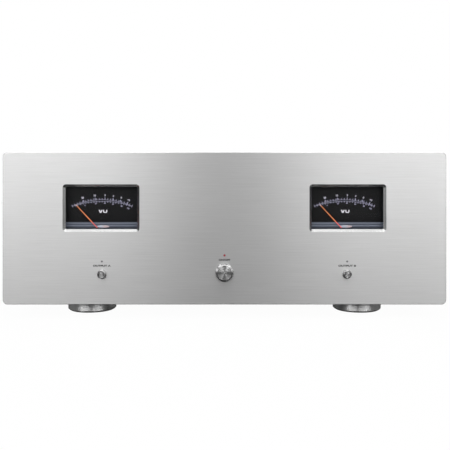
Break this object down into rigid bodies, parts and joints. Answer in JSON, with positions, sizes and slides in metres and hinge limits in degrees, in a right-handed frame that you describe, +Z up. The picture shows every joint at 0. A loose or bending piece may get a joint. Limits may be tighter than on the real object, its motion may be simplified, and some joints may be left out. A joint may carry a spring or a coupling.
{
  "type": "hybrid power amplifier",
  "caption": "Full-width stereo power amplifier: brushed fascia with needle meters and push buttons, finned heat sinks as sides, screw terminals and mains inlet behind.",
  "frame": {"origin": "on the floor, under the middle of the bounding box", "axes": "+X to the right seen from the front, +Y to the rear, +Z up"},
  "size_m": [0.43, 0.44, 0.16],
  "materials": {
    "fascia_aluminium": "brushed along X, clear anodised",
    "button_aluminium": "turned",
    "foot_aluminium": "turned and polished",
    "chassis_steel": "black powder coat",
    "black_steel": "fine black powder coat",
    "sink_aluminium": "black anodised",
    "rubber": "moulded",
    "screw_steel": "zinc plated",
    "black_screw": "black oxide",
    "meter_plastic": "moulded",
    "meter_glass": "polished",
    "dial_black": "satin print",
    "apron_slate": "ribbed",
    "needle_orange": "satin",
    "coil_copper": "wound",
    "magnet_steel": "plain",
    "black_plastic": "moulded",
    "light_red": "clear tinted",
    "light_grey": "clear tinted",
    "board_green": "solder mask",
    "winding_tape": "taped winding",
    "capacitor_sleeve": "shrink sleeve",
    "socket_ceramic": "matt",
    "tube_glass": "blown",
    "standoff_brass": "turned",
    "gold_plate": "gold plated",
    "pin_nickel": "nickel plated",
    "cap_red": "moulded",
    "cap_black": "moulded"
  },
  "bodies": {
    "chassis": {"front_panel": "fascia_aluminium", "front_subpanel": "chassis_steel", "chassis_tray": "chassis_steel", "rear_panel": "black_steel", "top_cover": "black_steel", "heatsink_left": "sink_aluminium", "heatsink_right": "sink_aluminium", "feet": "foot_aluminium", "foot_pads": "rubber", "chassis_screws": "screw_steel", "cover_screws": "black_screw", "fascia_screws": "screw_steel", "meter_case_left": "meter_plastic", "meter_case_right": "meter_plastic", "meter_glass_left": "meter_glass", "meter_glass_right": "meter_glass", "meter_dial_left": "dial_black", "meter_dial_right": "dial_black", "meter_aprons": "apron_slate", "meter_magnet_left": "magnet_steel", "meter_magnet_right": "magnet_steel", "power_switch": "black_plastic", "speaker_switches": "black_plastic", "power_light": "light_red", "speaker_lights": "light_grey", "control_board": "board_green", "transformer": "winding_tape", "transformer_pads": "rubber", "transformer_clamp": "screw_steel", "supply_board": "board_green", "filter_capacitors": "capacitor_sleeve", "bridge_rectifiers": "black_plastic", "amp_boards": "board_green", "output_transistors": "black_plastic", "tube_board": "board_green", "tube_sockets": "socket_ceramic", "tubes": "tube_glass", "speaker_relays": "black_plastic", "board_standoffs": "standoff_brass", "input_sockets": "gold_plate", "mains_inlet": "black_plastic", "mains_pins": "pin_nickel", "terminal_posts": "gold_plate", "terminal_bases": "black_plastic"},
    "power_button": {"power_button": "button_aluminium"},
    "speaker_a_button": {"speaker_a_button": "button_aluminium"},
    "speaker_b_button": {"speaker_b_button": "button_aluminium"},
    "left_needle": {"meter_needle_left": "needle_orange", "meter_coil_left": "coil_copper"},
    "right_needle": {"meter_needle_right": "needle_orange", "meter_coil_right": "coil_copper"},
    "fuse_drawer": {"fuse_drawer": "black_plastic"},
    "cap_left_a_plus": {"cap_left_a_plus": "cap_red"},
    "cap_left_a_minus": {"cap_left_a_minus": "cap_black"},
    "cap_left_b_plus": {"cap_left_b_plus": "cap_red"},
    "cap_left_b_minus": {"cap_left_b_minus": "cap_black"},
    "cap_right_a_plus": {"cap_right_a_plus": "cap_red"},
    "cap_right_a_minus": {"cap_right_a_minus": "cap_black"},
    "cap_right_b_plus": {"cap_right_b_plus": "cap_red"},
    "cap_right_b_minus": {"cap_right_b_minus": "cap_black"}
  },
  "joints": [
    {"name": "power_button_press", "type": "slide", "parent": "chassis", "child": "power_button", "axis": [0, 1, 0], "range_m": [0, 0.003], "stiffness_N_per_m": 600},
    {"name": "speaker_a_button_press", "type": "slide", "parent": "chassis", "child": "speaker_a_button", "axis": [0, 1, 0], "range_m": [0, 0.0025], "stiffness_N_per_m": 400},
    {"name": "speaker_b_button_press", "type": "slide", "parent": "chassis", "child": "speaker_b_button", "axis": [0, 1, 0], "range_m": [0, 0.0025], "stiffness_N_per_m": 400},
    {"name": "left_needle_swing", "type": "hinge", "parent": "chassis", "child": "left_needle", "pos_m": [-0.1197, -0.203, 0.08105], "axis": [0, 1, 0], "range_deg": [0, 85], "stiffness_Nm_per_rad": 0.002},
    {"name": "right_needle_swing", "type": "hinge", "parent": "chassis", "child": "right_needle", "pos_m": [0.1197, -0.203, 0.08105], "axis": [0, 1, 0], "range_deg": [0, 85], "stiffness_Nm_per_rad": 0.002},
    {"name": "fuse_drawer_pull", "type": "slide", "parent": "chassis", "child": "fuse_drawer", "axis": [0, 1, 0], "range_m": [0, 0.014]},
    {"name": "cap_left_a_plus_turn", "type": "hinge", "parent": "chassis", "child": "cap_left_a_plus", "pos_m": [-0.058, 0.2014, 0.057], "axis": [0, 1, 0], "range_deg": [0, 1080]},
    {"name": "cap_left_a_minus_turn", "type": "hinge", "parent": "chassis", "child": "cap_left_a_minus", "pos_m": [-0.084, 0.2014, 0.057], "axis": [0, 1, 0], "range_deg": [0, 1080]},
    {"name": "cap_left_b_plus_turn", "type": "hinge", "parent": "chassis", "child": "cap_left_b_plus", "pos_m": [-0.118, 0.2014, 0.057], "axis": [0, 1, 0], "range_deg": [0, 1080]},
    {"name": "cap_left_b_minus_turn", "type": "hinge", "parent": "chassis", "child": "cap_left_b_minus", "pos_m": [-0.144, 0.2014, 0.057], "axis": [0, 1, 0], "range_deg": [0, 1080]},
    {"name": "cap_right_a_plus_turn", "type": "hinge", "parent": "chassis", "child": "cap_right_a_plus", "pos_m": [0.058, 0.2014, 0.057], "axis": [0, 1, 0], "range_deg": [0, 1080]},
    {"name": "cap_right_a_minus_turn", "type": "hinge", "parent": "chassis", "child": "cap_right_a_minus", "pos_m": [0.084, 0.2014, 0.057], "axis": [0, 1, 0], "range_deg": [0, 1080]},
    {"name": "cap_right_b_plus_turn", "type": "hinge", "parent": "chassis", "child": "cap_right_b_plus", "pos_m": [0.118, 0.2014, 0.057], "axis": [0, 1, 0], "range_deg": [0, 1080]},
    {"name": "cap_right_b_minus_turn", "type": "hinge", "parent": "chassis", "child": "cap_right_b_minus", "pos_m": [0.144, 0.2014, 0.057], "axis": [0, 1, 0], "range_deg": [0, 1080]}
  ]
}
